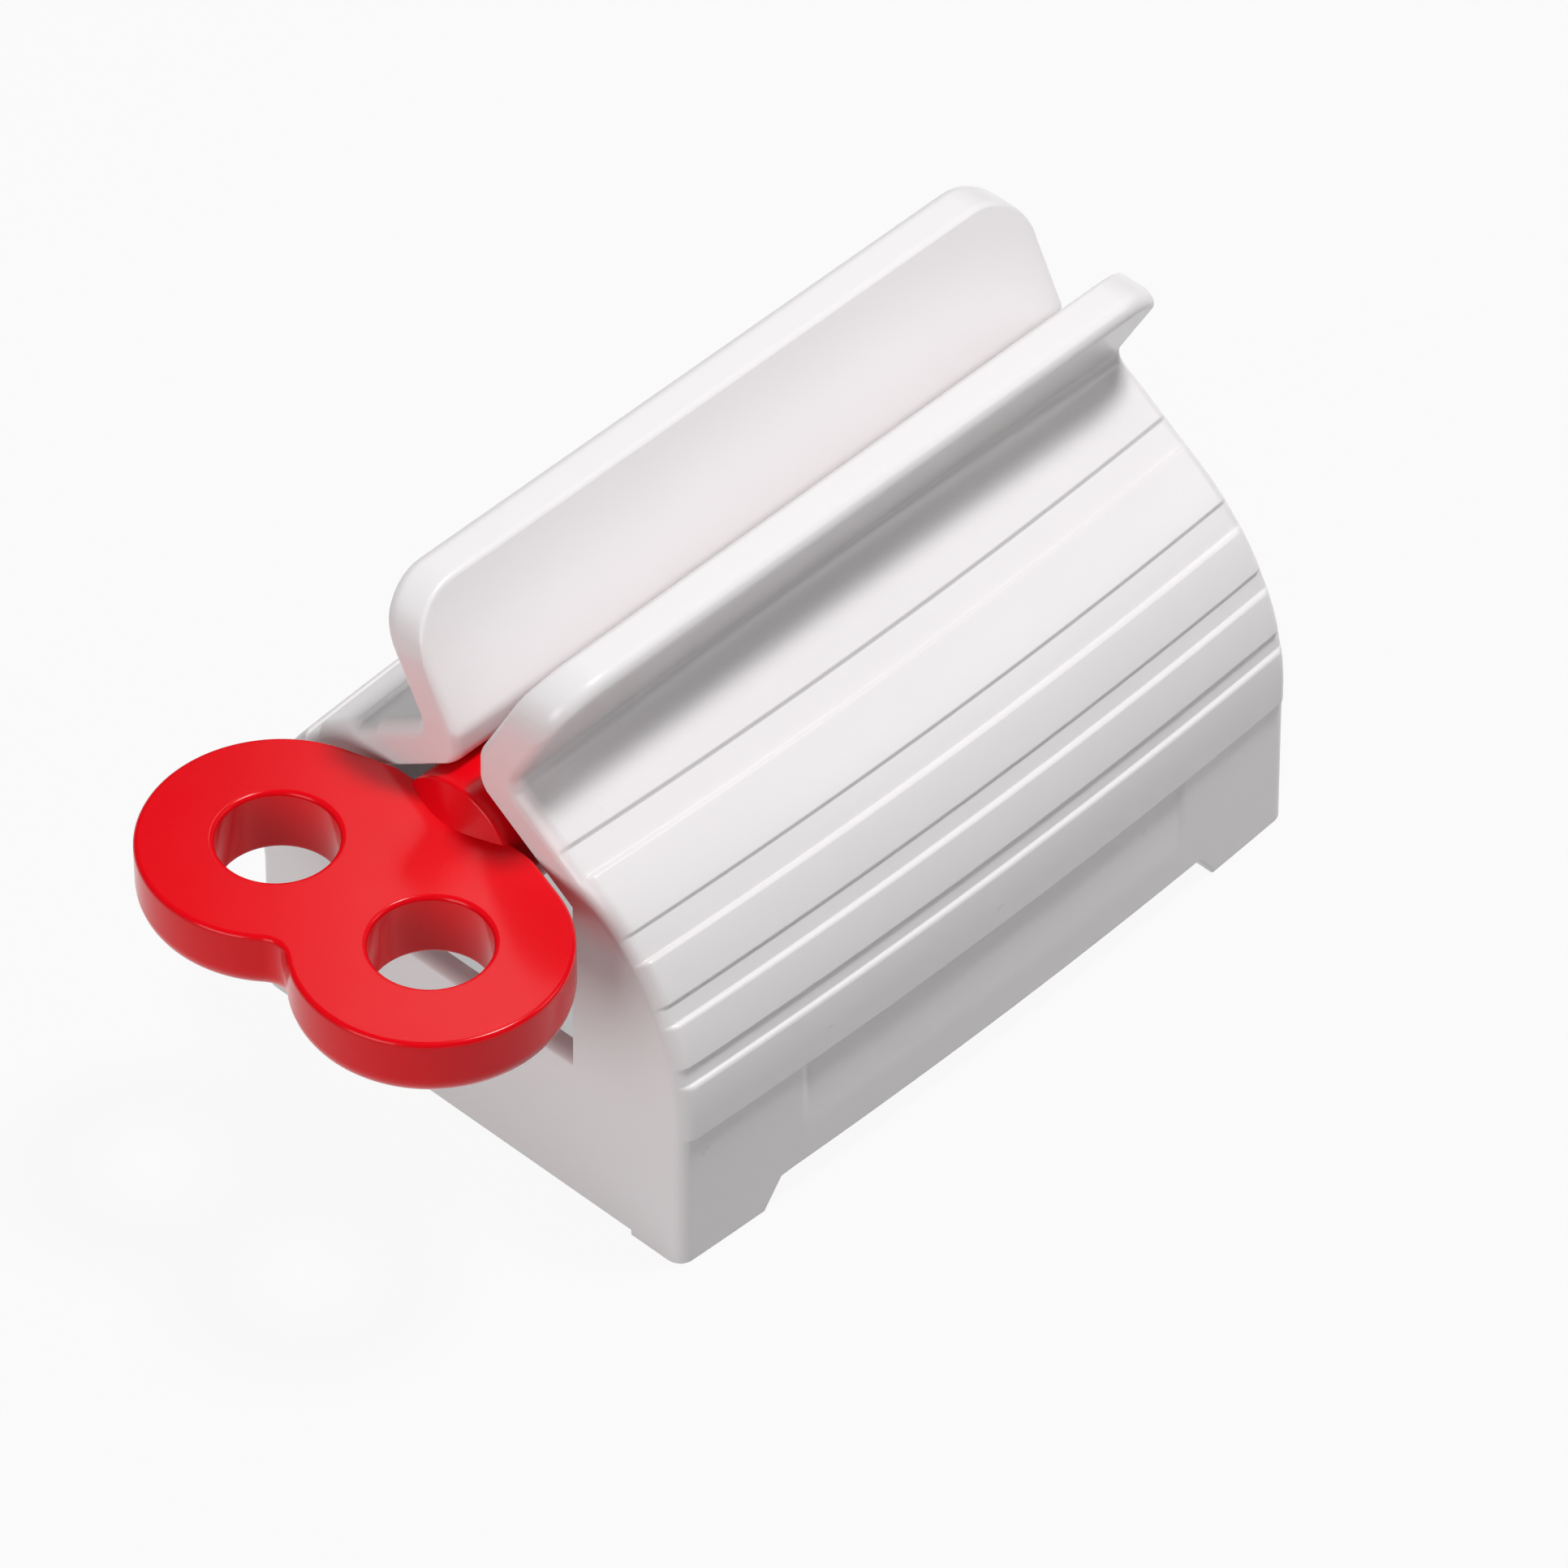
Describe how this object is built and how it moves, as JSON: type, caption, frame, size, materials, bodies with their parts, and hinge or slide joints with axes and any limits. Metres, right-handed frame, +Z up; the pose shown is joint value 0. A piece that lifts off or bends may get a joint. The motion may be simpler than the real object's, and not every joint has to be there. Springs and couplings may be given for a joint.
{
  "type": "toothpaste tube squeezer",
  "caption": "Toothpaste tube squeezer: a hollow ribbed stand with a flared slot on top, and a winding key with finger loops and a split shaft that rolls up the tube's tail.",
  "frame": {"origin": "on the floor, under the middle of the whole object with its key at rest", "axes": "+X along the winding shaft away from the grip, -Y to the front, +Z up"},
  "size_m": [0.1271, 0.0674, 0.0695],
  "materials": {
    "seat_plastic": "satin-gloss white moulded plastic",
    "key_plastic": "gloss red moulded plastic"
  },
  "bodies": {
    "stand": {"seat": "seat_plastic"},
    "key": {"winding_key": "key_plastic"}
  },
  "joints": [
    {"name": "key_turn", "type": "hinge", "parent": "stand", "child": "key", "pos_m": [0.0156, 0, 0.04254], "axis": [1, 0, 0], "continuous": true}
  ]
}
